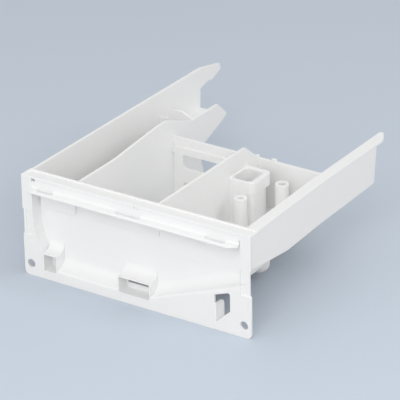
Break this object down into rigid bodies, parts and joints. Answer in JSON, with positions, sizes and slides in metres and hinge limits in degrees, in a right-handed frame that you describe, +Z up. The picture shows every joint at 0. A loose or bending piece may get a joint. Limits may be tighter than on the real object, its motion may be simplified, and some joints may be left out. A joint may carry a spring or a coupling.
{
  "type": "detergent dispenser drawer",
  "caption": "One-piece moulded tray for washing powder and fabric softener, with a plain front plate, a finger recess, compartments, a siphon tower and guide runners.",
  "frame": {"origin": "middle of the overall box in X and Y, on the surface the drawer stands on", "axes": "+Y from the front plate to the rear, +Z up out of the compartments, +X to the right seen from the front"},
  "size_m": [0.2, 0.2698, 0.082],
  "materials": {
    "white_plastic": "satin moulded"
  },
  "bodies": {
    "root": {"drawer_body": "white_plastic"}
  },
  "joints": []
}
